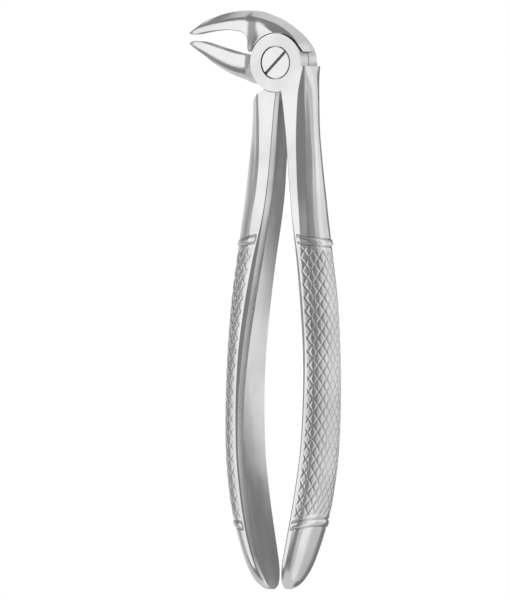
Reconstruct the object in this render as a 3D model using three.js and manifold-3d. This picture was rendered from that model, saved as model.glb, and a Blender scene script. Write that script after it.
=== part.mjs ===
// Extraction forceps for lower roots, English pattern with a hawk's-bill head.
// Two forged levers cross in a lap joint and turn on one slotted pivot screw.
// Millimetres, +Z up, handles pointing down, beaks towards -X, screw head towards -Y.
// Inside this file the joint's mid-plane is y = 0; the exported group is shifted so that
// the origin is on the pivot axis, in the flat rear face of the joint.
import * as THREE from 'three';
import { LoftGeometry } from 'three/addons/geometries/LoftGeometry.js';
import { mergeVertices } from 'three/addons/utils/BufferGeometryUtils.js';
import Module from 'manifold-3d';

const wasm = await Module();
wasm.setup();

// Joint
const JOINT_THICKNESS = 9.6;
const DISC_RADIUS = 8.45;
const RUNNING_GAP = 0.3;
const DISC_SEGMENTS = 64;

// Pivot screw
const HEAD_RADIUS = 4.65;
const HEAD_HEIGHT = 2.2;
const SHANK_RADIUS = 2.9;
const SLOT_WIDTH = 0.9;
const SLOT_DEPTH = 1.2;
const SLOT_ANGLE = THREE.MathUtils.degToRad(44);
const SCREW_SEGMENTS = 48;

// Handles: each station gives the height, the inner face's distance from the line between the
// handles, the thickness, the flat front's outer end and the front-to-back depth. Below the
// joint both inner faces sit a little to the right, so the left grip is the thicker one.
const CENTRE_AT_SHANKS = 1.0;
const HANDLE_LEAN = 0.0213;
const LEAN_START = -40;
const INNER_FACE_SHIFT = 0.3;
const RIM_WIDTH = 2.2;
const RIM_DEPTH = 1.8;
const HANDLE_STATIONS = [
  { z: -1, gap: -1.2, width: 10.9, flat: 9.4, depth: 9.6, rim: 0.05 },
  { z: -5, gap: -0.5, width: 10.6, flat: 7.9, depth: 9.6, rim: 0.05 },
  { z: -8.9, gap: 0.25, width: 10.2, flat: 6.5, depth: 9.6, rim: 0.05 },
  { z: -19.5, gap: 1.35, width: 9.7, flat: 4.6, depth: 9.6, rim: 0.45 },
  { z: -28, gap: 2.0, width: 10.0, flat: 4.2, depth: 10.0, rim: 0.75 },
  { z: -37, gap: 2.8, width: 10.2, flat: 3.6, depth: 10.8, rim: 0.95 },
  { z: -45.6, gap: 3.9, width: 10.1, flat: 3.4, depth: 11.5, rim: 1 },
  { z: -57.2, gap: 5.7, width: 9.9, flat: 2.5, depth: 12.6, rim: 1 },
  { z: -69, gap: 7.4, width: 9.6, flat: 2.3, depth: 13.8, rim: 1 },
  { z: -83.3, gap: 9.1, width: 8.6, flat: 2.3, depth: 15.0, rim: 1 },
  { z: -98, gap: 9.9, width: 7.8, flat: 2.3, depth: 16.0, rim: 1 },
  { z: -112.3, gap: 9.5, width: 7.7, flat: 2.3, depth: 16.6, rim: 1 },
  { z: -121, gap: 8.5, width: 7.8, flat: 2.3, depth: 16.8, rim: 1 },
  { z: -129.7, gap: 7.1, width: 7.6, flat: 2.3, depth: 16.8, rim: 1 },
  { z: -138.4, gap: 5.4, width: 6.6, flat: 2.0, depth: 16.2, rim: 0.85 },
  { z: -145.7, gap: 3.7, width: 5.8, flat: 1.6, depth: 14.0, rim: 0.65 },
  { z: -150, gap: 2.7, width: 4.6, flat: 1.0, depth: 10.0, rim: 0.4 },
  { z: -152, gap: 2.6, width: 2.8, flat: 0.6, depth: 6.0, rim: 0.2 },
  { z: -152.7, gap: 2.8, width: 1.3, flat: 0.3, depth: 2.4, rim: 0.1 },
];
const RIM_SEGMENTS = 3;
const CROWN_SEGMENTS = 7;
const SECTION_SPACING = 4.2;

// Raised bead rings above and below each grip
const BEAD_HEIGHTS = [-51, -134];
const BEAD_HALF_LENGTH = 1.1;
const BEAD_RISE = 0.5;
const BEAD_SECTIONS = 6;

// Shoulders where the full-thickness shanks end beside the joint
const RIGHT_SHOULDER_Z = -1;
const LEFT_SHOULDER_TOP = new THREE.Vector2(-4.1, -7.8);
const LEFT_SHOULDER_SIDE = new THREE.Vector2(-8.3, -10.4);

// Beaks: the outer outline, the inner outline and half of the front-to-back width at each station
const UPPER_BEAK_STATIONS = [
  { outer: [-30.9, 8.9], inner: [-30.7, 8.2], half: 1.3 },
  { outer: [-29.2, 10.2], inner: [-28.6, 8.1], half: 1.9 },
  { outer: [-26.6, 11.8], inner: [-26.0, 8.6], half: 2.1 },
  { outer: [-23.0, 13.2], inner: [-22.8, 9.1], half: 2.2 },
  { outer: [-19.0, 14.3], inner: [-19.2, 9.4], half: 2.4 },
  { outer: [-15.2, 14.9], inner: [-15.8, 9.3], half: 2.9 },
  { outer: [-11.4, 15.1], inner: [-12.4, 8.6], half: 3.6 },
  { outer: [-7.6, 14.9], inner: [-10.8, 6.9], half: 4.3 },
  { outer: [-4.2, 14.0], inner: [-10.0, 3.4], half: 4.6 },
  { outer: [-0.2, 12.5], inner: [-4.6, 3.2], half: 4.7 },
  { outer: [3.2, 10.6], inner: [-0.6, 3.0], half: 4.7 },
  { outer: [6.0, 8.4], inner: [2.0, 2.6], half: 4.7 },
  { outer: [8.1, 5.8], inner: [3.6, 2.2], half: 4.7 },
  { outer: [9.4, 2.4], inner: [4.4, 1.4], half: 4.7 },
];
const LOWER_BEAK_STATIONS = [
  { outer: [-30.8, 5.1], inner: [-30.6, 5.9], half: 1.3 },
  { outer: [-29.2, 3.9], inner: [-28.3, 6.3], half: 1.9 },
  { outer: [-26.4, 2.0], inner: [-25.2, 5.8], half: 2.1 },
  { outer: [-23.2, -0.2], inner: [-21.8, 4.8], half: 2.2 },
  { outer: [-19.8, -2.2], inner: [-18.4, 3.8], half: 2.5 },
  { outer: [-16.4, -3.7], inner: [-15.0, 2.9], half: 3.0 },
  { outer: [-13.0, -4.8], inner: [-12.0, 2.4], half: 3.8 },
  { outer: [-9.8, -6.0], inner: [-9.2, 2.2], half: 4.5 },
  { outer: [-7.2, -5.9], inner: [-6.2, 2.2], half: 4.7 },
  { outer: [-4.6, -4.6], inner: [-3.4, 2.0], half: 4.7 },
];
const ARCH_END_Z = 3.2;
const BEAK_SEGMENTS = 28;
const BEAK_STEPS = 3;
const TIP_EXPONENT = 2.2;
const ROOT_EXPONENT = 3.2;

// Concave channel along the inner face of each beak
const CHANNEL_END_X = -19;
const CHANNEL_DEPTH = 0.75;
const CHANNEL_EDGE = 0.55;
const CHANNEL_OVERRUN = 1.5;
const CHANNEL_SEGMENTS = 16;

const OVERCUT = 20;
const HALF = JOINT_THICKNESS / 2;
const RECESS_RADIUS = DISC_RADIUS + RUNNING_GAP;

// Solids ------------------------------------------------------------------------------------

function signedVolume(positions, index) {
  const [a, b, c] = [new THREE.Vector3(), new THREE.Vector3(), new THREE.Vector3()];
  let volume = 0;
  for (let i = 0; i < index.count; i += 3) {
    a.fromBufferAttribute(positions, index.getX(i));
    b.fromBufferAttribute(positions, index.getX(i + 1));
    c.fromBufferAttribute(positions, index.getX(i + 2));
    volume += a.dot(b.cross(c)) / 6;
  }
  return volume;
}

// A closed three.js geometry as a solid that can be joined and cut, its faces turned outwards
function solidOf(geometry) {
  const bare = new THREE.BufferGeometry();
  bare.setAttribute('position', geometry.getAttribute('position'));
  bare.setIndex(geometry.getIndex());
  const merged = mergeVertices(bare, 1e-4);
  const triangles = Uint32Array.from(merged.index.array);
  if (signedVolume(merged.attributes.position, merged.index) < 0) {
    for (let i = 0; i < triangles.length; i += 3) {
      [triangles[i], triangles[i + 1]] = [triangles[i + 1], triangles[i]];
    }
  }
  const vertices = Float32Array.from(merged.attributes.position.array);
  return new wasm.Manifold(new wasm.Mesh({ numProp: 3, vertProperties: vertices, triVerts: triangles }));
}

function namedMesh(name, solid, material) {
  const result = solid.getMesh();
  const geometry = new THREE.BufferGeometry();
  geometry.setAttribute('position', new THREE.BufferAttribute(Float32Array.from(result.vertProperties), 3));
  geometry.setIndex(new THREE.BufferAttribute(Uint32Array.from(result.triVerts), 1));
  geometry.computeVertexNormals();
  const mesh = new THREE.Mesh(geometry, material);
  mesh.name = name;
  return mesh;
}

function centreOf(section) {
  return section.reduce((sum, point) => sum.add(point), new THREE.Vector3()).divideScalar(section.length);
}

// A loft through closed sections, which have to wind counterclockwise seen from the last one
function loftSolid(sections) {
  const [first, last] = [sections[0], sections.at(-1)];
  const centre = centreOf(first);
  const normal = new THREE.Vector3();
  first.forEach((point, i) => {
    const next = first[(i + 1) % first.length];
    normal.add(point.clone().sub(centre).cross(next.clone().sub(centre)));
  });
  const forwards = normal.dot(centreOf(last).sub(centre)) > 0;
  const wound = forwards ? sections : sections.map((section) => [...section].reverse());
  return solidOf(new LoftGeometry(wound, { closed: true, capStart: true, capEnd: true }));
}

// A round plate or bore along Y, between two depths
function roundAlongY(radius, fromY, toY, segments) {
  const geometry = new THREE.CylinderGeometry(radius, radius, toY - fromY, segments);
  geometry.translate(0, (fromY + toY) / 2, 0);
  return solidOf(geometry);
}

// A flat outline in the XZ plane, pulled through the whole depth of the joint
function slabThroughY(points) {
  const shape = new THREE.Shape(points.map((p) => new THREE.Vector2(p.x, p.y)));
  const geometry = new THREE.ExtrudeGeometry(shape, { depth: 2 * OVERCUT, bevelEnabled: false });
  geometry.rotateX(Math.PI / 2);
  geometry.translate(0, OVERCUT, 0);
  return solidOf(geometry);
}

// Smooth values between stations ------------------------------------------------------------

// The slope of one value at a station, from its neighbours
function slopeAt(stations, index, at, value) {
  const before = stations[Math.max(index - 1, 0)];
  const after = stations[Math.min(index + 1, stations.length - 1)];
  return (value(after) - value(before)) / (at(after) - at(before));
}

function smoothValue(stations, position, at, value) {
  let index = 0;
  const isPast = (station) => (at(station) - position) * (at(stations[0]) - position) > 0;
  while (index < stations.length - 2 && isPast(stations[index + 1])) {
    index += 1;
  }
  const [start, end] = [stations[index], stations[index + 1]];
  const span = at(end) - at(start);
  const t = (position - at(start)) / span;
  const startSlope = slopeAt(stations, index, at, value) * span;
  const endSlope = slopeAt(stations, index + 1, at, value) * span;
  const rise = value(end) - value(start);
  return value(start) + startSlope * t
    + (3 * rise - 2 * startSlope - endSlope) * t * t
    + (startSlope + endSlope - 2 * rise) * t * t * t;
}

// Handles -----------------------------------------------------------------------------------

function handleStation(z) {
  const at = (station) => station.z;
  const read = (key) => smoothValue(HANDLE_STATIONS, z, at, (station) => station[key]);
  return {
    z,
    gap: read('gap'),
    width: read('width'),
    flat: read('flat'),
    depth: read('depth'),
    rim: read('rim'),
  };
}

// One half of the D-shaped section, from the inner face round the rim to the crown's middle:
// outward distance from the inner face, and depth from the mid-plane.
function halfSection(station, raise) {
  const halfDepth = station.depth / 2;
  const rimWidth = RIM_WIDTH * station.rim;
  const rimDepth = RIM_DEPTH * station.rim;
  const points = [];
  for (let i = 0; i <= RIM_SEGMENTS; i += 1) {
    const turn = (Math.PI / 2) * (i / RIM_SEGMENTS);
    const lift = i > 0 ? raise : 0;
    points.push([rimWidth * (1 - Math.cos(turn)), halfDepth - rimDepth * (1 - Math.sin(turn)) + lift]);
  }
  for (let i = 0; i <= CROWN_SEGMENTS; i += 1) {
    const turn = (Math.PI / 2) * (i / CROWN_SEGMENTS);
    const crown = station.width - station.flat + raise;
    points.push([station.flat + crown * Math.sin(turn), (halfDepth + raise) * Math.cos(turn)]);
  }
  return points;
}

// side is +1 for the right handle and -1 for the left one
function handleSection(station, side, raise = 0) {
  const half = halfSection(station, raise);
  const centre = CENTRE_AT_SHANKS + HANDLE_LEAN * Math.min(0, station.z - LEAN_START);
  const shift = INNER_FACE_SHIFT * station.rim;
  const place = ([out, depth], sign) => {
    const thin = 1 - out / station.width;
    return new THREE.Vector3(centre + side * (station.gap + out) + shift * thin, sign * depth, station.z);
  };
  const front = half.map((point) => place(point, -1));
  const back = half.slice(0, -1).reverse().map((point) => place(point, 1));
  return [...front, ...back];
}

function handleHeights() {
  const heights = [];
  for (let i = 0; i < HANDLE_STATIONS.length - 1; i += 1) {
    const [from, to] = [HANDLE_STATIONS[i].z, HANDLE_STATIONS[i + 1].z];
    const steps = Math.max(1, Math.round((from - to) / SECTION_SPACING));
    for (let k = 0; k < steps; k += 1) {
      heights.push(THREE.MathUtils.lerp(from, to, k / steps));
    }
  }
  heights.push(HANDLE_STATIONS.at(-1).z);
  return heights;
}

function beadRing(z, side) {
  const sections = [];
  for (let i = 0; i <= BEAD_SECTIONS; i += 1) {
    const turn = Math.PI * (i / BEAD_SECTIONS);
    const height = z + BEAD_HALF_LENGTH * Math.cos(turn);
    sections.push(handleSection(handleStation(height), side, -0.02 + BEAD_RISE * Math.sin(turn)));
  }
  return loftSolid(sections);
}

function handle(side) {
  let solid = loftSolid(handleHeights().map((z) => handleSection(handleStation(z), side)));
  for (const z of BEAD_HEIGHTS) {
    solid = solid.add(beadRing(z, side));
  }
  return solid;
}

// Beaks -------------------------------------------------------------------------------------

function beakStation(stations, position) {
  const at = (station) => station.order;
  const ordered = stations.map((station, order) => ({ ...station, order }));
  const read = (value) => smoothValue(ordered, position, at, value);
  return {
    outer: new THREE.Vector2(read((s) => s.outer[0]), read((s) => s.outer[1])),
    inner: new THREE.Vector2(read((s) => s.inner[0]), read((s) => s.inner[1])),
    half: read((s) => s.half),
  };
}

// An oval across the beak, from its outer outline to its inner one; the exponent squares it up
function beakSection(station, exponent) {
  const middle = station.outer.clone().add(station.inner).multiplyScalar(0.5);
  const reach = station.outer.clone().sub(station.inner).multiplyScalar(0.5);
  const squared = (value) => Math.sign(value) * Math.abs(value) ** (2 / exponent);
  const points = [];
  for (let i = 0; i < BEAK_SEGMENTS; i += 1) {
    const turn = (2 * Math.PI * i) / BEAK_SEGMENTS;
    const across = squared(Math.cos(turn));
    const depth = station.half * squared(Math.sin(turn));
    points.push(new THREE.Vector3(middle.x + reach.x * across, depth, middle.y + reach.y * across));
  }
  return points;
}

function beak(stations) {
  const sections = [];
  const count = (stations.length - 1) * BEAK_STEPS;
  for (let i = 0; i <= count; i += 1) {
    const exponent = THREE.MathUtils.lerp(TIP_EXPONENT, ROOT_EXPONENT, i / count);
    sections.push(beakSection(beakStation(stations, i / BEAK_STEPS), exponent));
  }
  return loftSolid(sections);
}

// The hollow that seats against a root: a shallow trough sunk in the beak's inner face
function channel(stations) {
  const sections = [];
  let order = 0;
  let station = beakStation(stations, order);
  while (station.inner.x < CHANNEL_END_X) {
    const x = order === 0 ? station.inner.x - CHANNEL_OVERRUN : station.inner.x;
    const halfWidth = Math.max(station.half, stations[1].half) - CHANNEL_EDGE;
    const points = [];
    for (let k = 0; k < CHANNEL_SEGMENTS; k += 1) {
      const turn = (2 * Math.PI * k) / CHANNEL_SEGMENTS;
      const height = station.inner.y + CHANNEL_DEPTH * Math.cos(turn);
      points.push(new THREE.Vector3(x, halfWidth * Math.sin(turn), height));
    }
    sections.push(points);
    order += 1 / BEAK_STEPS;
    station = beakStation(stations, order);
  }
  return loftSolid(sections);
}

// Levers ------------------------------------------------------------------------------------

// Everything above a line across the left shank, so that the shank ends in a slanting shoulder
function aboveLeftShoulder() {
  const [top, side] = [LEFT_SHOULDER_TOP, LEFT_SHOULDER_SIDE];
  const slope = (top.y - side.y) / (top.x - side.x);
  return slabThroughY([
    top,
    { x: top.x, y: OVERCUT },
    { x: top.x - OVERCUT, y: OVERCUT },
    { x: top.x - OVERCUT, y: top.y - slope * OVERCUT },
  ]);
}

function belowArchEnd() {
  return slabThroughY([
    { x: 0, y: ARCH_END_Z },
    { x: 0, y: -OVERCUT },
    { x: OVERCUT, y: -OVERCUT },
    { x: OVERCUT, y: ARCH_END_Z },
  ]);
}

function upperBeakLever() {
  const arch = beak(UPPER_BEAK_STATIONS).subtract(belowArchEnd());
  const grip = handle(-1).subtract(aboveLeftShoulder());
  const rearDisc = roundAlongY(DISC_RADIUS, RUNNING_GAP / 2, HALF, DISC_SEGMENTS);
  const frontRecess = roundAlongY(RECESS_RADIUS, -OVERCUT, RUNNING_GAP / 2, DISC_SEGMENTS);
  const bore = roundAlongY(SHANK_RADIUS + RUNNING_GAP, -OVERCUT, OVERCUT, SCREW_SEGMENTS);
  return arch.add(grip).subtract(frontRecess).add(rearDisc)
    .subtract(channel(UPPER_BEAK_STATIONS)).subtract(bore);
}

function lowerBeakLever() {
  const frontDisc = roundAlongY(DISC_RADIUS, -HALF, -RUNNING_GAP / 2, DISC_SEGMENTS);
  const rearRecess = roundAlongY(RECESS_RADIUS, -RUNNING_GAP / 2, OVERCUT, DISC_SEGMENTS);
  const bore = roundAlongY(SHANK_RADIUS + RUNNING_GAP, -OVERCUT, OVERCUT, SCREW_SEGMENTS);
  const seatFloor = -HALF + HEAD_HEIGHT + RUNNING_GAP;
  const headSeat = roundAlongY(HEAD_RADIUS + RUNNING_GAP, -OVERCUT, seatFloor, SCREW_SEGMENTS);
  return beak(LOWER_BEAK_STATIONS).add(handle(1)).subtract(rearRecess).add(frontDisc)
    .subtract(channel(LOWER_BEAK_STATIONS)).subtract(bore).subtract(headSeat);
}

// Pivot screw -------------------------------------------------------------------------------

function pivotScrew() {
  const profile = [
    new THREE.Vector2(0, -HALF),
    new THREE.Vector2(HEAD_RADIUS, -HALF),
    new THREE.Vector2(HEAD_RADIUS, -HALF + HEAD_HEIGHT),
    new THREE.Vector2(SHANK_RADIUS, -HALF + HEAD_HEIGHT),
    new THREE.Vector2(SHANK_RADIUS, HALF),
    new THREE.Vector2(0, HALF),
  ];
  const body = solidOf(new THREE.LatheGeometry(profile, SCREW_SEGMENTS));
  const slot = new THREE.BoxGeometry(4 * HEAD_RADIUS, 2 * SLOT_DEPTH, SLOT_WIDTH);
  slot.rotateY(-SLOT_ANGLE);
  slot.translate(0, -HALF, 0);
  return body.subtract(solidOf(slot));
}

// Assembly ----------------------------------------------------------------------------------

const satinSteel = new THREE.MeshStandardMaterial({ color: 0xc4c6c9, roughness: 0.32, metalness: 1 });
const polishedSteel = new THREE.MeshStandardMaterial({ color: 0xd2d4d6, roughness: 0.22, metalness: 1 });

const forceps = new THREE.Group();
forceps.add(namedMesh('upper_beak_lever', upperBeakLever(), satinSteel));
forceps.add(namedMesh('lower_beak_lever', lowerBeakLever(), satinSteel.clone()));
forceps.add(namedMesh('pivot_screw', pivotScrew(), polishedSteel));
forceps.position.y = -HALF;

export default forceps;
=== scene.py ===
import math

import bmesh
import bpy
import numpy as np
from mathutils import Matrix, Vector


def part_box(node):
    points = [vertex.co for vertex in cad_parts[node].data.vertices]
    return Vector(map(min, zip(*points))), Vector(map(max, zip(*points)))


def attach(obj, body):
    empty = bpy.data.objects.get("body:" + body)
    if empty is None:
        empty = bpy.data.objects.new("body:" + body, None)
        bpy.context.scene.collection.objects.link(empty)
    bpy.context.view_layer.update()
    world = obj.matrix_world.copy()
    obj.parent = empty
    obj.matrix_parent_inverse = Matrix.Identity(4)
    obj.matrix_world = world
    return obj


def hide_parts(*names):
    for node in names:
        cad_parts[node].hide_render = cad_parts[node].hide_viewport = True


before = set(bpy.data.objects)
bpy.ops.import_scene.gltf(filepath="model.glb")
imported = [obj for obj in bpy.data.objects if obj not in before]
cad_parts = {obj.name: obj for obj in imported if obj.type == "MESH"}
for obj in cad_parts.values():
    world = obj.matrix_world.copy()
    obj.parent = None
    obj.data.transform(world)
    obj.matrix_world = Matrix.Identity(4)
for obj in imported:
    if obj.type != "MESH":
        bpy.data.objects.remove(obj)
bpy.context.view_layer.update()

MM = 0.001
joint_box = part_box("pivot_screw")
MID_PLANE = (joint_box[0].y + joint_box[1].y) / 2 / MM

# Joint and pivot screw
HALF = (joint_box[1].y - joint_box[0].y) / 2 / MM
DISC_RADIUS = 8.45
RUNNING_GAP = 0.3
RECESS_RADIUS = DISC_RADIUS + RUNNING_GAP
HEAD_RADIUS = (joint_box[1].x - joint_box[0].x) / 2 / MM
HEAD_HEIGHT = 2.2
HEAD_BEVEL = 0.16
SHANK_RADIUS = 2.9
SLOT_WIDTH = 0.9
SLOT_DEPTH = 1.2
SLOT_ANGLE = math.radians(44)
ROUND_SEGMENTS = 144
# Radius at which a turned piece is closed, and how far a cutting tool reaches past the joint
AXIS_RADIUS = 0.02
OVERCUT = 20.0

# Handles, station by station from the joint down to the rounded ends
CENTRE_AT_SHANKS = 1.0
HANDLE_LEAN = 0.0213
LEAN_START = -40.0
INNER_FACE_SHIFT = 0.3
INNER_SHIFT_LENGTH = 40
STATION_Z = [-1, -5, -8.9, -19.5, -28, -37, -45.6, -57.2, -69, -83.3, -98, -112.3, -121,
             -129.7, -138.4, -145.7, -150, -152, -152.7]
GAP = [-1.2, -0.5, 0.25, 1.35, 2.0, 2.8, 3.9, 5.7, 7.4, 9.1, 9.9, 9.5, 8.5,
       7.1, 5.4, 3.7, 2.75, 2.5, 2.5]
WIDTH = [10.9, 10.6, 10.2, 9.7, 10.0, 10.2, 10.1, 9.9, 9.6, 8.6, 7.8, 7.7, 7.8,
         7.6, 6.6, 5.8, 4.6, 2.8, 1.3]
FLAT = [9.4, 7.7, 6.2, 4.45, 3.9, 3.6, 3.4, 2.9, 2.7, 2.6, 2.6, 2.6, 2.6,
        2.6, 2.3, 1.9, 1.3, 0.7, 0.3]
DEPTH = [9.6, 9.6, 9.6, 9.6, 10.0, 10.8, 11.5, 12.6, 13.8, 15.0, 16.0, 16.6, 16.8,
         16.8, 16.2, 14.0, 10.0, 6.0, 2.4]
# Facet next to the flat, and the angle at which the crown takes over from it
FACET_WIDTH = [0.5, 1.3, 1.9, 2.8, 2.9, 2.8, 2.6, 2.2, 1.8, 1.6, 1.5, 1.5, 1.5,
               1.5, 1.2, 0.9, 0.5, 0.2, 0.1]
FACET_ANGLE = [28, 28, 28, 27, 24, 20, 18, 18, 16, 15, 15, 15, 15, 15, 15, 15, 15, 15, 15]
CROWN_ANGLE = [50, 50, 50, 46, 40, 34, 30, 26, 24, 24, 24, 24, 24, 24, 24, 24, 24, 24, 24]
# How long the crown keeps that angle, and how squarely it meets the outermost line
CROWN_LEAD = 0.58
CROWN_FULLNESS = 0.52
# The right handle's crown is drawn in at its middle, and its rear corner swells to keep the
# outline; the left handle has a wider flat and a narrower facet instead
DRAW_IN = [0, 0, 0.1, 0.5, 0.8, 1.0, 1.0, 0.7, 0.4, 0.2, 0, 0, 0, 0, 0, 0, 0, 0, 0]
REAR_SWELL = 0.3
LEFT_FLAT_EXTRA = [0, 0, 0.4, 0.7, 0.6, 0.8, 1.2, 0.8, 0.3, 0, 0, 0, 0, 0, 0, 0, 0, 0, 0]
LEFT_FACET_SHARE = 0.55
# Rim along the inner face: a steep bevel next to the face and a shallow one next to the flat
STEEP_BEVEL = [0.3, 0.9, 1.3, 1.7, 1.9, 2.1, 2.2, 2.2, 2.2, 2.1, 2.0, 2.0, 2.0,
               2.0, 1.8, 1.4, 0.8, 0.4, 0.15]
SHALLOW_BEVEL = [0.1, 0.15, 0.2, 0.2, 0.2, 0.25, 0.35, 1.1, 1.3, 1.2, 0.7, 0.5, 0.5,
                 0.5, 0.5, 0.4, 0.3, 0.2, 0.1]
STEEP_ANGLE = math.radians(62)
SHALLOW_ANGLE = math.radians(30)
# Narrowest flat that is left on a handle or on the side of a beak
LEAST_FLAT = 0.05

# Mesh of the handles: points round a section, and distances between rings
INNER_STEPS = 8
BEVEL_STEPS = 3
OUTER_STEPS = 132
CROWN_POINTS = 40
TILT_REACH = 2
SHANK_RING_STEP = 0.85
BEAD_RING_STEP = 0.1
GRIP_RING_STEP = 0.25
END_RING_STEP = 0.7
BEAD_OUTSIDE = 2.4
BEAD_INSIDE = 2.6
TIP_START = -149.8
TIP_RINGS = 16

# Cross-hatched grip
KNURL_TOP = -53.6
KNURL_BOTTOM = -131.9
KNURL_FADE = 0.5
DIAMOND_LENGTH = 3.9
DIAMOND_WIDTH = 2.8
GROOVE_HALF_WIDTH = 0.3
GROOVE_DEPTH = 0.17
DOME_DEPTH = 0.07
# Painted shade laid lightly over the whole knurled grip, with more in its grooves
GRIP_SHADE = 0.3
DOME_FROM = 2.0
DOME_FULL = 6.0
KNURL_MARGIN = 0.3
KNURL_MARGIN_FADE = 1.0

# Beads above and below the grip
BEADS = [-51.6, -134.1]
BEAD_HALF_LENGTH = 0.95
BEAD_RISE = 0.38
BEAD_LINE_OFFSET = 1.18
BEAD_LINE_HALF_WIDTH = 0.3
BEAD_LINE_DEPTH = 0.22
# Painted shade in the fine lines cut beside each bead
BEAD_LINE_SHADE = 0.7
# The beads rise from the flat's edge this many times faster than the grip's relief does
BEAD_RELIEF_GAIN = 3

# Shoulders at the top of each shank
LEFT_SHOULDER_TOP = (-4.1, -7.8)
LEFT_SHOULDER_SIDE = (-8.3, -10.4)
ARCH_END_Z = 3.2

# Beaks: outer outline, inner outline and half width at each station
UPPER_OUTER = [(-30.9, 8.9), (-29.2, 10.2), (-26.6, 11.8), (-23.0, 13.2), (-19.0, 14.3),
               (-15.2, 14.9), (-11.4, 15.1), (-7.6, 14.9), (-4.2, 14.0), (-0.2, 12.5),
               (3.2, 10.6), (6.0, 8.4), (8.1, 5.8), (9.4, 2.4)]
UPPER_INNER = [(-30.7, 8.2), (-28.6, 8.1), (-26.0, 8.6), (-22.8, 9.1), (-19.2, 9.4),
               (-15.8, 9.3), (-12.4, 8.6), (-10.8, 6.9), (-10.0, 3.4), (-4.6, 3.2),
               (-0.6, 3.0), (2.0, 2.6), (3.6, 2.2), (4.4, 1.4)]
UPPER_HALF = [2.8, 3.4, 3.6, 3.7, 3.8, 3.85, 3.9, 4.0, 4.15, 4.3, 4.4, 4.5, 4.6, 4.7]
UPPER_RIM = [0.3, 0.6, 1.0, 1.4, 1.7, 1.8, 1.8, 1.7, 1.5, 1.3, 1.2, 1.2, 1.2, 1.2]
UPPER_ROLL = [0.2, 0.5, 0.9, 1.2, 1.4, 1.5, 1.5, 1.6, 2.0, 2.4, 2.6, 2.6, 2.4, 2.2]
LOWER_OUTER = [(-30.8, 5.1), (-29.2, 3.9), (-26.4, 2.0), (-23.2, -0.2), (-19.8, -2.2),
               (-16.4, -3.7), (-13.0, -4.8), (-9.8, -6.0), (-7.2, -5.9), (-4.6, -4.6)]
LOWER_INNER = [(-30.6, 5.9), (-28.3, 6.3), (-25.2, 5.8), (-21.8, 4.8), (-18.4, 3.8),
               (-15.0, 2.9), (-12.0, 2.4), (-9.2, 2.2), (-6.2, 2.2), (-3.4, 2.0)]
LOWER_HALF = [1.3, 1.9, 2.1, 2.2, 2.3, 2.5, 2.8, 3.1, 3.4, 3.6]
LOWER_RIM = [0.25, 0.4, 0.5, 0.7, 0.9, 1.1, 1.3, 1.4, 1.4, 1.4]
LOWER_ROLL = [0.2, 0.8, 1.5, 2.0, 2.3, 2.5, 2.7, 2.8, 2.8, 2.8]
# The upper beak is thinner than the arch behind it, by a slope beside the window
SADDLE_DROP = 1.5
SADDLE_END = -5.5
SADDLE_LENGTH = 6.5
RIM_POWER = 0.95
ROLL_SLOPES = (0.6, 0.2)
INNER_EDGE = 0.3
INNER_EDGE_SHARE = 0.2
COVE_REACH = 3.4
COVE_HALF = 4.8
# Troughs along the inner faces
CHANNEL_END_X = -19.0
CHANNEL_DEPTH = 0.75
CHANNEL_EDGE = 0.55
CHANNEL_LEAST_HALF = 1.9
CHANNEL_OVERRUN = 1.5
# Mesh of the beaks: sections between stations, and points on each part of a section
BEAK_STEPS = 8
RIM_POINTS = 12
RIM_CROWDING = 1.6
ROLL_POINTS = 12
FLAT_POINTS = 25
EDGE_POINTS = 5
FACE_POINTS = 6
CHANNEL_POINTS = 40

# Edges sharper than this are shaded as edges
SHARP_ANGLE = math.radians(26)

# Steel: colours, the dark one also used for painted shade, and the size and strength of its cloudy tone,
# fine grain and smears
LEVER_BRIGHT = (0.80, 0.805, 0.81, 1)
LEVER_DARK = (0.52, 0.52, 0.525, 1)
SCREW_BRIGHT = (0.82, 0.825, 0.83, 1)
SCREW_DARK = (0.45, 0.45, 0.455, 1)
CLOUD_SCALE = 60.0
CLOUD_DETAIL = 4.0
CLOUD_RANGE = (0.35, 0.65)
GRAIN_SCALE = 900.0
GRAIN_DETAIL = 2.0
GRAIN_STRETCH = (1, 1, 0.08)
GRAIN_HEIGHT = 0.0001
SMEAR_SCALE = 160.0
SMEAR_DETAIL = 3.0
SMEAR_RANGE = (0.3, 0.7)
SMEAR_STRETCH = (1, 1, 0.3)
SMEAR_SMOOTHER = 0.03
SMEAR_ROUGHER = 0.04
# How far the hollow weight darkens the colour as painted shade, and how much rougher it makes it
HOLLOW_SHADE = 0.85
HOLLOW_ROUGHNESS = 0.12
# Depths below the screw's head between which painted shade darkens its slot, and those where that ends
SLOT_DARK_FROM = (0.1, 0.7)
SLOT_DARK_TO = (1.5, 1.9)

# Camera and backdrop
VIEW_AZIMUTH = math.radians(30)
PICTURE_HEIGHT = 174.0
AIM_RIGHT = -8.294
AIM_UP = -68.85
CAMERA_DISTANCE = 900.0
FLOOR_Z = -153.0
# The rest of the stage, with its lengths in metres
CLIP_END = 20.0
FLOOR_HALF_SIZE = 3.0
FLOOR_TONES = ((0.86, 0.86, 0.86, 1), (0.88, 0.88, 0.88, 1))
FLOOR_CLOUD_SCALE = 3.0
FLOOR_ROUGHNESS = 0.8
LIGHT_POSITION = (-0.4, -0.6, 1.1)
LIGHT_AIM = (0, 0, -0.07)
LIGHT_SIZE = 1.0
LIGHT_POWER = 6.0


# Smooth curves through stations ---------------------------------------------------------------

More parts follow.
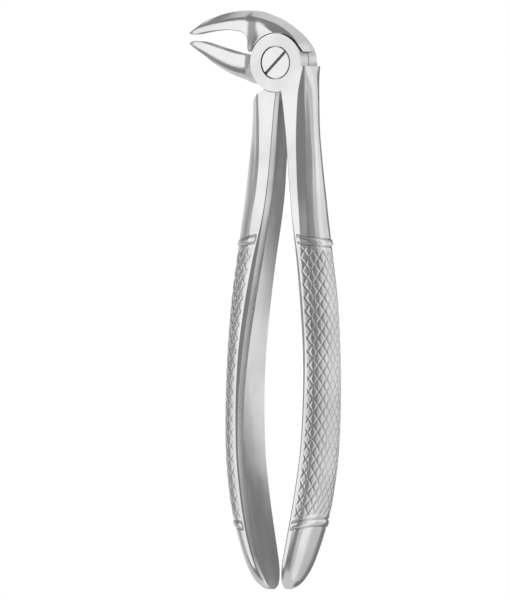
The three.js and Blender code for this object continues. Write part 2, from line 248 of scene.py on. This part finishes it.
def smooth(at, values, where):
    """A Hermite curve through the stations, with slopes taken from each station's neighbours."""
    order = np.argsort(at)
    at = np.asarray(at, float)[order]
    values = np.asarray(values, float)[order]
    low = np.maximum(np.arange(len(at)) - 1, 0)
    high = np.minimum(np.arange(len(at)) + 1, len(at) - 1)
    slope = (values[high] - values[low]) / (at[high] - at[low])
    where = np.clip(where, at[0], at[-1])
    i = np.clip(np.searchsorted(at, where, side="right") - 1, 0, len(at) - 2)
    span = at[i + 1] - at[i]
    t = (where - at[i]) / span
    rise = values[i + 1] - values[i]
    begin, end = slope[i] * span, slope[i + 1] * span
    return (values[i] + begin * t + (3 * rise - 2 * begin - end) * t ** 2
            + (begin + end - 2 * rise) * t ** 3)


def ease(t):
    t = np.clip(t, 0.0, 1.0)
    return t * t * (3 - 2 * t)


# Meshes ---------------------------------------------------------------------------------------

def mesh_object(name, points, faces, values=None):
    mesh = bpy.data.meshes.new(name)
    placed = (np.asarray(points, float) + (0.0, MID_PLANE, 0.0)) * MM
    mesh.from_pydata(placed.tolist(), [], faces)
    # The hollow attribute weighs painted shade, and added roughness, in the material
    if values is not None:
        layer = mesh.attributes.new("hollow", "FLOAT", "POINT")
        layer.data.foreach_set("value", np.asarray(values, np.float32))
    bm = bmesh.new()
    bm.from_mesh(mesh)
    bmesh.ops.recalc_face_normals(bm, faces=bm.faces)
    if bm.calc_volume(signed=True) < 0:
        bmesh.ops.reverse_faces(bm, faces=bm.faces)
    bm.to_mesh(mesh)
    bm.free()
    obj = bpy.data.objects.new(name, mesh)
    bpy.context.scene.collection.objects.link(obj)
    return obj


def loft(name, rings, values=None):
    """A closed skin through rings of points, all with the same count."""
    rings = np.asarray(rings, float)
    count, size = rings.shape[:2]
    points = rings.reshape(-1, 3)
    faces = []
    for r in range(count - 1):
        for k in range(size):
            n = (k + 1) % size
            faces.append((r * size + k, r * size + n, (r + 1) * size + n, (r + 1) * size + k))
    faces.append(tuple(range(size - 1, -1, -1)))
    last = (count - 1) * size
    faces.append(tuple(range(last, last + size)))
    return mesh_object(name, points, faces, None if values is None else np.ravel(values))


def lathe(name, profile):
    """Turns (radius, depth) points about the pivot axis; the ends are closed."""
    turns = np.linspace(0, 2 * np.pi, ROUND_SEGMENTS, endpoint=False)
    rings = [np.stack([r * np.cos(turns), np.full(ROUND_SEGMENTS, y), r * np.sin(turns)], 1)
             for r, y in profile]
    return loft(name, rings)


def plate(radius, front, back):
    return lathe("plate", [(radius, front), (radius, back)])


def slab(outline):
    """A flat outline in X and Z, pulled through the whole depth of the joint."""
    rings = [[(x, y, z) for x, z in outline] for y in (-OVERCUT, OVERCUT)]
    return loft("slab", rings)


def combine(target, tool, operation):
    modifier = target.modifiers.new("combine", "BOOLEAN")
    modifier.operation = operation
    modifier.solver = "MANIFOLD"
    modifier.object = tool
    graph = bpy.context.evaluated_depsgraph_get()
    result = bpy.data.meshes.new_from_object(target.evaluated_get(graph))
    target.modifiers.clear()
    target.data = result
    bpy.data.objects.remove(tool)
    return target


def finish_piece(obj, name, material, body, node):
    obj.name = name
    obj.data.name = name
    obj.data.materials.clear()
    obj.data.materials.append(material)
    obj.data.shade_smooth()
    obj.data.set_sharp_from_angle(angle=SHARP_ANGLE)
    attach(obj, body)
    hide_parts(node)


# Handles --------------------------------------------------------------------------------------

def crown_curve(start, angle, width, fullness):
    """From the facet's end to the middle of the crown, where it runs straight front to back."""
    x, y = start
    lead = CROWN_LEAD * min(width - x, y)
    a = np.array([x, y])
    b = a + lead * np.array([math.cos(angle), -math.sin(angle)])
    d = np.array([width, 0.0])
    c = d + np.array([0.0, fullness * y])
    t = np.linspace(0, 1, CROWN_POINTS)[:, None]
    return (1 - t) ** 3 * a + 3 * (1 - t) ** 2 * t * b + 3 * (1 - t) * t ** 2 * c + t ** 3 * d


def spaced(points, count):
    """Evenly spaced points along a path, and how far along it each one is."""
    steps = np.hypot(*np.diff(points, axis=0).T)
    along = np.concatenate([[0], np.cumsum(steps)])
    where = np.linspace(0, along[-1], count)
    return np.stack([np.interp(where, along, points[:, i]) for i in (0, 1)], 1), where


def half_section(z, side, front):
    """Front or rear half of one section: (outward, depth) points, their distance along the crown
    from its middle, and how much of the grip's relief each takes."""
    def read(values):
        return float(smooth(STATION_Z, values, z))

    half, width, flat = read(DEPTH) / 2, read(WIDTH), read(FLAT)
    steep, shallow = read(STEEP_BEVEL), read(SHALLOW_BEVEL)
    facet, facet_angle = read(FACET_WIDTH), math.radians(read(FACET_ANGLE))
    if side < 0:
        flat += read(LEFT_FLAT_EXTRA)
        facet *= LEFT_FACET_SHARE
    p1 = np.array([steep * math.cos(STEEP_ANGLE), half - shallow * math.sin(SHALLOW_ANGLE)])
    p0 = np.array([0.0, p1[1] - steep * math.sin(STEEP_ANGLE)])
    p2 = np.array([p1[0] + shallow * math.cos(SHALLOW_ANGLE), half])
    flat = max(flat, p2[0] + LEAST_FLAT)
    start = (flat + facet * math.cos(facet_angle), half - facet * math.sin(facet_angle))
    drawn = read(DRAW_IN) if side > 0 else 0.0
    fullness = CROWN_FULLNESS if front else CROWN_FULLNESS + REAR_SWELL * drawn
    crown = crown_curve(start, math.radians(read(CROWN_ANGLE)), width - drawn, fullness)
    outer, along = spaced(np.vstack([p2, (flat, half), crown]), OUTER_STEPS // 2 + 1)
    rim = np.vstack([np.linspace(p0, p1, BEVEL_STEPS + 1)[:-1],
                     np.linspace(p1, p2, BEVEL_STEPS + 1)[:-1]])
    relief = ease((along - KNURL_MARGIN) / KNURL_MARGIN_FADE)
    return rim, outer, along[-1] - along, relief


def knurl(around, z):
    """Crossing V grooves, from 0 on a diamond's face to 1 at a groove's bottom, and how far each
    diamond falls away from its middle."""
    slant = math.hypot(1 / DIAMOND_WIDTH, 1 / DIAMOND_LENGTH)
    deepest, dome = np.zeros_like(around), np.zeros_like(around)
    for sign in (-1, 1):
        phase = around / DIAMOND_WIDTH + sign * z / DIAMOND_LENGTH
        off = np.abs(phase - np.round(phase))
        deepest = np.maximum(deepest, 1 - off / slant / GROOVE_HALF_WIDTH)
        dome += (1 - 2 * off) ** 2
    return np.clip(deepest, 0, 1), dome


def bead_relief(above):
    """Rise of the ring, and the fine line cut on either side of it."""
    ring = BEAD_RISE * np.sqrt(np.clip(1 - (above / BEAD_HALF_LENGTH) ** 2, 0, 1))
    line = 1 - np.abs(np.abs(above) - BEAD_LINE_OFFSET) / BEAD_LINE_HALF_WIDTH
    return ring, np.clip(line, 0, 1)


def relief_of(z, sign, outer, around, relief, axial):
    """How far the knurl and beads move each point outwards, and the weight of painted shade there."""
    fade = ease((KNURL_TOP - axial) / KNURL_FADE) * ease((axial - KNURL_BOTTOM) / KNURL_FADE)
    cut, dome = knurl(sign * around, z)
    domed = ease((around[0] - around - DOME_FROM) / (DOME_FULL - DOME_FROM))
    cut = cut * fade * relief
    moved = -GROOVE_DEPTH * cut - DOME_DEPTH * dome * domed * fade
    on = ease(relief * BEAD_RELIEF_GAIN)
    for bead in BEADS:
        ring, line = bead_relief(axial - bead)
        moved = moved + (ring - BEAD_LINE_DEPTH * line) * on
        cut = np.maximum(cut, BEAD_LINE_SHADE * line * on)
    # The second value weighs painted shade: grooves, the lines beside the beads, and lightly the whole
    # grip
    return moved, np.maximum(cut, GRIP_SHADE * fade * relief)


def handle_half(z, side, sign, tilt, width):
    """The rim and the outer side of one half; sign is +1 at the front and -1 at the rear."""
    rim, outer, around, relief = half_section(z, side, sign > 0)
    tangent = np.gradient(outer, axis=0)
    normal = np.stack([-tangent[:, 1], tangent[:, 0]], 1)
    normal /= np.linalg.norm(normal, axis=1)[:, None]
    axial = z - tilt * (outer[:, 0] - width / 2)
    moved, cut = relief_of(z, sign, outer, around, relief, axial)
    return rim, outer + normal * moved[:, None], cut


def handle_ring(z, side):
    """One section of a handle: its points, and the weight of painted shade on each. Side is -1
    for the left handle and +1 for the right one."""
    centre = CENTRE_AT_SHANKS + HANDLE_LEAN * min(0.0, z - LEAN_START)
    gap = float(smooth(STATION_Z, GAP, z))
    width = float(smooth(STATION_Z, WIDTH, z))
    rise = smooth(STATION_Z, GAP, z + TILT_REACH) - smooth(STATION_Z, GAP, z - TILT_REACH)
    tilt = float(rise) / (2 * TILT_REACH)
    rim, front, front_cut = handle_half(z, side, 1, tilt, width)
    _, rear, rear_cut = handle_half(z, side, -1, tilt, width)
    across = np.linspace(-rim[0, 1], rim[0, 1], INNER_STEPS + 1)[:-1]
    inner = np.stack([np.zeros(INNER_STEPS), across], 1)
    flipped = (1.0, -1.0)
    section = np.vstack([inner, rim, front, (rear[:-1] * flipped)[::-1], (rim[1:] * flipped)[::-1]])
    deep = np.concatenate([np.zeros(len(inner) + len(rim)), front_cut, rear_cut[:-1][::-1],
                           np.zeros(len(rim) - 1)])
    lowered = ease((STATION_Z[0] - z) / INNER_SHIFT_LENGTH)
    shift = INNER_FACE_SHIFT * lowered * (1 - section[:, 0] / width)
    x = centre + side * (gap + section[:, 0]) + shift
    return np.stack([x, -section[:, 1], np.full(len(x), z)], 1), deep


def handle_heights():
    """Close rings on the grip, closer still at the beads, and wide ones on the plain lengths."""
    top, bottom = BEADS
    return np.concatenate([
        np.arange(STATION_Z[0], top + BEAD_OUTSIDE, -SHANK_RING_STEP),
        np.arange(top + BEAD_OUTSIDE, top - BEAD_INSIDE, -BEAD_RING_STEP),
        np.arange(top - BEAD_INSIDE, bottom + BEAD_INSIDE, -GRIP_RING_STEP),
        np.arange(bottom + BEAD_INSIDE, bottom - BEAD_OUTSIDE, -BEAD_RING_STEP),
        np.arange(bottom - BEAD_OUTSIDE, TIP_START, -END_RING_STEP),
        np.linspace(TIP_START, STATION_Z[-1], TIP_RINGS)])


def handle(side):
    made = [handle_ring(float(z), side) for z in handle_heights()]
    return loft("handle", [m[0] for m in made], [m[1] for m in made])


# Beaks ----------------------------------------------------------------------------------------

def along_stations(values, where):
    """Smooth values, or pairs of values, at fractional station numbers."""
    values = np.asarray(values, float)
    at = np.arange(len(values))
    if values.ndim == 1:
        return smooth(at, values, where)
    return np.stack([smooth(at, values[:, i], where) for i in range(values.shape[1])], 1)


def coved(half, x, z, radius):
    """The side falls away from the joint's full thickness in a hollow round the disc."""
    reach = np.clip((np.hypot(x, z) - radius) / COVE_REACH, 0, 1)
    return half + (np.maximum(COVE_HALF, half) - half) * (1 - reach) ** 2


def edge_radius(half):
    return min(INNER_EDGE, INNER_EDGE_SHARE * half)


def beak_profile(length, half, rim, roll):
    """One side of a beak's section: distance in from the outer edge, and depth. A steep rim and a
    shallower roll climb to the side's full depth; a small round edge meets the inner face."""
    climbed = half - roll * sum(ROLL_SLOPES) / 2
    near = rim * np.linspace(0, 1, RIM_POINTS) ** RIM_CROWDING
    side = [np.stack([near, climbed * (near / rim) ** RIM_POWER], 1)]
    t = np.linspace(0, 1, ROLL_POINTS)[1:]
    first, last = ROLL_SLOPES
    rolled = climbed + roll * (first * t + (last - first) * t * t / 2)
    side.append(np.stack([rim + roll * t, rolled], 1))
    edge = edge_radius(half)
    flat = np.linspace(rim + roll, length - edge, FLAT_POINTS)[1:]
    side.append(np.stack([flat, np.full(len(flat), half)], 1))
    turn = np.linspace(0, np.pi / 2, EDGE_POINTS)[1:]
    side.append(np.stack([length - edge + edge * np.sin(turn), half - edge + edge * np.cos(turn)], 1))
    face = np.linspace(half - edge, 0, FACE_POINTS)[1:]
    side.append(np.stack([np.full(len(face), length), face], 1))
    return np.vstack(side)


def dropped(x, drop):
    """How much thinner the beak is at x than the arch behind it."""
    return drop * ease((SADDLE_END - x) / SADDLE_LENGTH)


def beak(outer, inner, halves, rims, rolls, radius, drop=0.0):
    where = np.linspace(0, len(halves) - 1, (len(halves) - 1) * BEAK_STEPS + 1)
    outer, inner = along_stations(outer, where), along_stations(inner, where)
    halves, rims, rolls = (along_stations(v, where) for v in (halves, rims, rolls))
    rings = []
    for o, i, thick, rim, roll in zip(outer, inner, halves, rims, rolls):
        length = np.hypot(*(i - o))
        half = thick - dropped(o[0], drop)
        spare = length - edge_radius(half) - LEAST_FLAT
        fit = min(1.0, spare / (rim + roll))
        one = beak_profile(length, half, rim * fit, roll * fit)
        section = np.vstack([one, (one[1:-1] * (1, -1))[::-1]])
        x, z = o[:, None] + (i - o)[:, None] * section[:, 0] / length
        local = coved(thick - dropped(x, drop), x, z, radius)
        rings.append(np.stack([x, -section[:, 1] * local / half, z], 1))
    return loft("beak", rings)


def channel(inner, halves):
    """The trough along a beak's inner face that seats against a root."""
    where = np.arange(0, len(halves) - 1, 1 / BEAK_STEPS)
    inner, halves = along_stations(inner, where), along_stations(halves, where)
    turns = np.linspace(0, 2 * np.pi, CHANNEL_POINTS, endpoint=False)
    rings = []
    for order, (i, h) in enumerate(zip(inner, halves)):
        if i[0] > CHANNEL_END_X:
            break
        x = i[0] - CHANNEL_OVERRUN if order == 0 else i[0]
        half_width = max(h, CHANNEL_LEAST_HALF) - CHANNEL_EDGE
        rings.append(np.stack([np.full(CHANNEL_POINTS, x), half_width * np.sin(turns),
                               i[1] + CHANNEL_DEPTH * np.cos(turns)], 1))
    return loft("channel", rings)


# Levers ---------------------------------------------------------------------------------------

def above_left_shoulder():
    (tx, tz), (sx, sz) = LEFT_SHOULDER_TOP, LEFT_SHOULDER_SIDE
    slope = (tz - sz) / (tx - sx)
    return slab([(tx, tz), (tx, OVERCUT), (tx - OVERCUT, OVERCUT), (tx - OVERCUT, tz - slope * OVERCUT)])


def below_arch_end():
    return slab([(0, ARCH_END_Z), (0, -OVERCUT), (OVERCUT, -OVERCUT), (OVERCUT, ARCH_END_Z)])


def bore():
    return plate(SHANK_RADIUS + RUNNING_GAP, -OVERCUT, OVERCUT)


def upper_lever():
    arch = beak(UPPER_OUTER, UPPER_INNER, UPPER_HALF, UPPER_RIM, UPPER_ROLL, RECESS_RADIUS,
                SADDLE_DROP)
    arch = combine(arch, below_arch_end(), "DIFFERENCE")
    grip = combine(handle(-1), above_left_shoulder(), "DIFFERENCE")
    lever = combine(grip, arch, "UNION")
    lever = combine(lever, plate(RECESS_RADIUS, -OVERCUT, RUNNING_GAP / 2), "DIFFERENCE")
    lever = combine(lever, plate(DISC_RADIUS, RUNNING_GAP / 2, HALF), "UNION")
    lever = combine(lever, channel(UPPER_INNER, np.array(UPPER_HALF) - SADDLE_DROP), "DIFFERENCE")
    return combine(lever, bore(), "DIFFERENCE")


def lower_lever():
    blade = beak(LOWER_OUTER, LOWER_INNER, LOWER_HALF, LOWER_RIM, LOWER_ROLL, DISC_RADIUS)
    lever = combine(handle(1), blade, "UNION")
    lever = combine(lever, plate(RECESS_RADIUS, -RUNNING_GAP / 2, OVERCUT), "DIFFERENCE")
    lever = combine(lever, plate(DISC_RADIUS, -HALF, -RUNNING_GAP / 2), "UNION")
    lever = combine(lever, channel(LOWER_INNER, LOWER_HALF), "DIFFERENCE")
    lever = combine(lever, bore(), "DIFFERENCE")
    seat_floor = -HALF + HEAD_HEIGHT + RUNNING_GAP
    return combine(lever, plate(HEAD_RADIUS + RUNNING_GAP, -OVERCUT, seat_floor), "DIFFERENCE")


def pivot_screw():
    body = lathe("screw", [
        (AXIS_RADIUS, -HALF), (HEAD_RADIUS - HEAD_BEVEL, -HALF), (HEAD_RADIUS, -HALF + HEAD_BEVEL),
        (HEAD_RADIUS, -HALF + HEAD_HEIGHT), (SHANK_RADIUS, -HALF + HEAD_HEIGHT),
        (SHANK_RADIUS, HALF - HEAD_BEVEL), (SHANK_RADIUS - HEAD_BEVEL, HALF),
        (AXIS_RADIUS, HALF)])
    along, across = 2 * HEAD_RADIUS, SLOT_WIDTH / 2
    c, s = math.cos(SLOT_ANGLE), math.sin(SLOT_ANGLE)
    corners = [(a * c - b * s, a * s + b * c) for a, b in
               ((-along, -across), (along, -across), (along, across), (-along, across))]
    slot = loft("slot", [[(x, y, z) for x, z in corners] for y in (-OVERCUT, -HALF + SLOT_DEPTH)])
    return combine(body, slot, "DIFFERENCE")


# Materials ------------------------------------------------------------------------------------

class Nodes:
    """Short names for building a node tree."""

    def __init__(self, tree):
        self.tree = tree
        tree.nodes.clear()

    def add(self, kind, settings=None, **inputs):
        node = self.tree.nodes.new(kind)
        for key, value in (settings or {}).items():
            setattr(node, key, value)
        for key, value in inputs.items():
            self.feed(node.inputs[key.replace("_", " ")], value)
        return node

    def feed(self, socket, value):
        if isinstance(value, bpy.types.NodeSocket):
            self.tree.links.new(value, socket)
        else:
            socket.default_value = value

    def math(self, operation, *values):
        node = self.tree.nodes.new("ShaderNodeMath")
        node.operation = operation
        for i, value in enumerate(values):
            self.feed(node.inputs[i], value)
        return node.outputs[0]

    def fit(self, value, low, high, to_low, to_high):
        node = self.tree.nodes.new("ShaderNodeMapRange")
        node.interpolation_type = "SMOOTHSTEP"
        for i, v in enumerate((value, low, high, to_low, to_high)):
            self.feed(node.inputs[i], v)
        return node.outputs[0]

    def noise(self, vector, scale, detail=3.0, stretch=(1, 1, 1)):
        mapping = self.add("ShaderNodeMapping", Vector=vector, Scale=stretch)
        node = self.add("ShaderNodeTexNoise", Vector=mapping.outputs[0], Scale=scale, Detail=detail)
        return node.outputs[0]

    def mix_colour(self, factor, a, b):
        node = self.tree.nodes.new("ShaderNodeMix")
        node.data_type = "RGBA"
        for name, value in (("Factor_Float", factor), ("A_Color", a), ("B_Color", b)):
            socket = next(s for s in node.inputs if s.identifier == name)
            self.feed(socket, value)
        return next(s for s in node.outputs if s.identifier == "Result_Color")


def in_slot(n, place):
    """Weight of the painted shade in the screw's slot: 1 inside the slot, 0 on its head and behind it.
    """
    depth = n.math("MULTIPLY", n.add("ShaderNodeSeparateXYZ", Vector=place).outputs["Y"], 1 / MM)
    face = MID_PLANE - HALF
    below_head = n.fit(depth, face + SLOT_DARK_FROM[0], face + SLOT_DARK_FROM[1], 0.0, 1.0)
    above_end = n.fit(depth, face + SLOT_DARK_TO[0], face + SLOT_DARK_TO[1], 1.0, 0.0)
    return n.math("MULTIPLY", below_head, above_end)


def steel(name, bright, dark, roughness, grain, tone_range=0.35, slotted=False):
    """Satin steel with a cloudy tone, fine grain and uneven roughness. Grooves in the mesh, or the
    screw's slot when slotted, are rougher and darkened with painted shade."""
    material = bpy.data.materials.new(name)
    material.use_nodes = True
    n = Nodes(material.node_tree)
    place = n.add("ShaderNodeTexCoord").outputs["Object"]
    hollow = n.add("ShaderNodeAttribute", {"attribute_name": "hollow"}).outputs["Fac"]
    if slotted:
        hollow = in_slot(n, place)
    cloud = n.noise(place, CLOUD_SCALE, CLOUD_DETAIL)
    lines = n.noise(place, GRAIN_SCALE, GRAIN_DETAIL, GRAIN_STRETCH)
    smear = n.noise(place, SMEAR_SCALE, SMEAR_DETAIL, SMEAR_STRETCH)
    tone = n.fit(cloud, *CLOUD_RANGE, 0.0, tone_range)
    # Random cloudy tone plus painted shade in the grooves, the grip and the screw's slot
    cloud_tone_and_shade = n.math("ADD", tone, n.math("MULTIPLY", hollow, HOLLOW_SHADE))
    colour = n.mix_colour(n.math("MINIMUM", cloud_tone_and_shade, 1.0), bright, dark)
    smeared = n.fit(smear, *SMEAR_RANGE, roughness - SMEAR_SMOOTHER, roughness + SMEAR_ROUGHER)
    rough = n.math("ADD", smeared, n.math("MULTIPLY", hollow, HOLLOW_ROUGHNESS))
    bump = n.add("ShaderNodeBump", Strength=grain, Distance=GRAIN_HEIGHT, Height=lines)
    shader = n.add("ShaderNodeBsdfPrincipled", Base_Color=colour, Metallic=1.0, Roughness=rough,
                   Normal=bump.outputs[0])
    n.add("ShaderNodeOutputMaterial", Surface=shader.outputs[0])
    return material


# Studio ---------------------------------------------------------------------------------------

# The room is read from a sphere of soft cards. FRONT is the way a front face reflects the camera:
# a bright box there, a dark ring round it, and cards beside and behind the object after that.
FRONT = (-30, 0)
BOX_RADIUS = 33
RING_RADIUS = 54
BOX_FADE = 4
RING_FADE = 3
BOX_LIGHT = 1.10
RING_LIGHT = 0.23
ROOM_LIGHT = 0.72
# The flag stands at this azimuth and distance. Its slot's lowest and highest line come next, and
# then its lowest and highest edge: height, and reach to either side.
FLAG_AZIMUTH = 151
FLAG_DISTANCE = 40
FLAG_SLOT = (-97, -62)
FLAG_EDGES = [(-200.0, (-30.0, -1.0)), (0.0, (-30.0, 7.0))]
FLAG_LIGHT = 0.22
FLAG_SLANT = 2.2
FLAG_FADE = 4.0
# Azimuth and half width, elevation and half height, softness, brightness. Azimuth 0 is in front
# of the joint and 90 to its right, in degrees.
CARDS = [
    (26, 13, 0, 60, 6, 0.25),
    (50, 12, 0, 60, 6, 0.33),
    (65, 2.5, 0, 60, 2, 0.95),
    (77, 9, 0, 60, 4, 0.62),
    (106, 20, 0, 62, 6, 1.02),
    (150, 18, 0, 45, 8, 0.62),
    (152, 22, -1, 13, 4, 0.90),
    (10, 50, 58, 22, 6, 0.25),
    (-135, 28, -4, 26, 8, 0.78),
    (-82, 16, 0, 16, 8, 0.40),
    (-95, 22, -26, 12, 8, 0.62),
    (-95, 24, 32, 20, 8, 0.22),
    (-153, 16, -12, 9, 4, 0.22),
    (-150, 18, 27, 18, 6, 0.25),
]


def window(n, value, centre, half, soft):
    """1 within half a width of the centre, fading to 0 over the soft edge."""
    away = n.math("ABSOLUTE", n.math("SUBTRACT", value, float(centre)))
    return n.fit(away, half - soft / 2, half + soft / 2, 1.0, 0.0)


def blend(n, weight, a, b):
    node = n.tree.nodes.new("ShaderNodeMix")
    for i, value in ((0, weight), (2, a), (3, b)):
        n.feed(node.inputs[i], value)
    return node.outputs[0]


def studio_world():
    """The cards light the object and show in its reflections; the camera itself sees plain white."""
    world = bpy.data.worlds.new("studio")
    bpy.context.scene.world = world
    world.use_nodes = True
    n = Nodes(world.node_tree)
    direction = n.add("ShaderNodeTexCoord").outputs["Generated"]
    x, y, z = n.add("ShaderNodeSeparateXYZ", Vector=direction).outputs
    degrees = 180 / math.pi
    azimuth = n.math("MULTIPLY", n.math("ARCTAN2", x, n.math("MULTIPLY", y, -1.0)), degrees)
    elevation = n.math("MULTIPLY", n.math("ARCSINE", z), degrees)
    side, up = (math.radians(v) for v in FRONT)
    front = (math.sin(side) * math.cos(up), -math.cos(side) * math.cos(up), math.sin(up))
    aligned = n.add("ShaderNodeVectorMath", {"operation": "DOT_PRODUCT"})
    n.feed(aligned.inputs[0], direction)
    n.feed(aligned.inputs[1], front)
    off = n.math("MULTIPLY", n.math("ARCCOSINE", aligned.outputs["Value"]), degrees)
    light = n.fit(off, RING_RADIUS - RING_FADE, RING_RADIUS + RING_FADE, RING_LIGHT, ROOM_LIGHT)
    in_box = n.fit(off, BOX_RADIUS - BOX_FADE, BOX_RADIUS + BOX_FADE, 1.0, 0.0)
    light = blend(n, in_box, light, BOX_LIGHT)
    for az, az_half, el, el_half, soft, value in CARDS:
        weight = n.math("MULTIPLY", window(n, azimuth, az, az_half, soft),
                        window(n, elevation, el, el_half, soft))
        light = blend(n, weight, light, value)
    seen = n.add("ShaderNodeLightPath").outputs["Is Camera Ray"]
    strength = blend(n, seen, light, 1.0)
    background = n.add("ShaderNodeBackground", Color=(1, 1, 1, 1), Strength=strength)
    n.add("ShaderNodeOutputWorld", Surface=background.outputs[0])


def floor():
    material = bpy.data.materials.new("pale_floor")
    material.use_nodes = True
    n = Nodes(material.node_tree)
    place = n.add("ShaderNodeTexCoord").outputs["Object"]
    colour = n.mix_colour(n.noise(place, FLOOR_CLOUD_SCALE), *FLOOR_TONES)
    shader = n.add("ShaderNodeBsdfPrincipled", Base_Color=colour, Roughness=FLOOR_ROUGHNESS)
    n.add("ShaderNodeOutputMaterial", Surface=shader.outputs[0])
    mesh = bpy.data.meshes.new("floor")
    r = FLOOR_HALF_SIZE
    mesh.from_pydata([(-r, -r, 0), (r, -r, 0), (r, r, 0), (-r, r, 0)], [], [(0, 1, 2, 3)])
    obj = bpy.data.objects.new("floor", mesh)
    obj.location.z = FLOOR_Z * MM
    mesh.materials.append(material)
    bpy.context.scene.collection.objects.link(obj)
    obj.visible_glossy = False


def flag(name, azimuth, distance, slot):
    """A dark card behind the object that only reflections see, with a slanted slot of light. It
    faces the pivot from the given azimuth and distance, and darkens the left handle's inner face
    above and below the slot."""
    turn = math.radians(azimuth)
    out = np.array([math.sin(turn), -math.cos(turn)])
    over = np.array([-out[1], out[0]])
    corners = [(p, z) for z, across in FLAG_EDGES for p in across]
    obj = mesh_object(name, [(*(out * distance - over * p), z) for p, z in corners], [(0, 1, 3, 2)])
    material = bpy.data.materials.new(name)
    material.use_nodes = True
    n = Nodes(material.node_tree)
    place = n.add("ShaderNodeTexCoord").outputs["Object"]
    tilted = n.add("ShaderNodeVectorMath", {"operation": "DOT_PRODUCT"})
    n.feed(tilted.inputs[0], place)
    n.feed(tilted.inputs[1], (over[0] * FLAG_SLANT, over[1] * FLAG_SLANT, 1.0))
    height = n.math("MULTIPLY", tilted.outputs["Value"], 1 / MM)
    low, high = slot
    below = n.fit(height, low - FLAG_FADE, low + FLAG_FADE, 1.0, 0.0)
    above = n.fit(height, high - FLAG_FADE, high + FLAG_FADE, 0.0, 1.0)
    dark = n.add("ShaderNodeEmission", Color=(1, 1, 1, 1), Strength=FLAG_LIGHT)
    clear = n.add("ShaderNodeBsdfTransparent")
    mixed = n.add("ShaderNodeMixShader", Fac=n.math("ADD", below, above))
    n.feed(mixed.inputs[1], clear.outputs[0])
    n.feed(mixed.inputs[2], dark.outputs[0])
    n.add("ShaderNodeOutputMaterial", Surface=mixed.outputs[0])
    obj.data.materials.append(material)
    for rays in ("camera", "diffuse", "transmission", "shadow"):
        setattr(obj, "visible_" + rays, False)


def camera():
    data = bpy.data.cameras.new("camera")
    data.type = "ORTHO"
    data.ortho_scale = PICTURE_HEIGHT * MM
    right = Vector((math.cos(VIEW_AZIMUTH), math.sin(VIEW_AZIMUTH), 0))
    towards = Vector((math.sin(VIEW_AZIMUTH), -math.cos(VIEW_AZIMUTH), 0))
    aim = Vector((0, MID_PLANE * MM, 0)) + right * AIM_RIGHT * MM + Vector((0, 0, AIM_UP * MM))
    obj = bpy.data.objects.new("camera", data)
    obj.location = aim + towards * CAMERA_DISTANCE * MM
    obj.rotation_euler = (-towards).to_track_quat("-Z", "Y").to_euler()
    data.clip_end = CLIP_END
    bpy.context.scene.collection.objects.link(obj)
    bpy.context.scene.camera = obj


def soft_light(name, position, size, power):
    data = bpy.data.lights.new(name, "AREA")
    data.size = size
    data.energy = power
    obj = bpy.data.objects.new(name, data)
    obj.location = position
    aim = Vector(LIGHT_AIM) - Vector(position)
    obj.rotation_euler = aim.to_track_quat("-Z", "Y").to_euler()
    obj.visible_glossy = False
    bpy.context.scene.collection.objects.link(obj)


# Build ----------------------------------------------------------------------------------------

lever_steel = steel("lever_steel", LEVER_BRIGHT, LEVER_DARK, roughness=0.20, grain=0.05)
screw_steel = steel("screw_steel", SCREW_BRIGHT, SCREW_DARK, roughness=0.18, grain=0.04,
                    tone_range=0.14, slotted=True)
finish_piece(upper_lever(), "upper_lever_steel", lever_steel,
             body="upper_lever", node="upper_beak_lever")
finish_piece(lower_lever(), "lower_lever_steel", lever_steel,
             body="lower_lever", node="lower_beak_lever")
finish_piece(pivot_screw(), "pivot_screw_steel", screw_steel,
             body="upper_lever", node="pivot_screw")

bpy.context.scene.view_settings.view_transform = "Standard"
studio_world()
floor()
flag("shank_flag", FLAG_AZIMUTH, FLAG_DISTANCE, FLAG_SLOT)
camera()
soft_light("overhead", LIGHT_POSITION, LIGHT_SIZE, LIGHT_POWER)
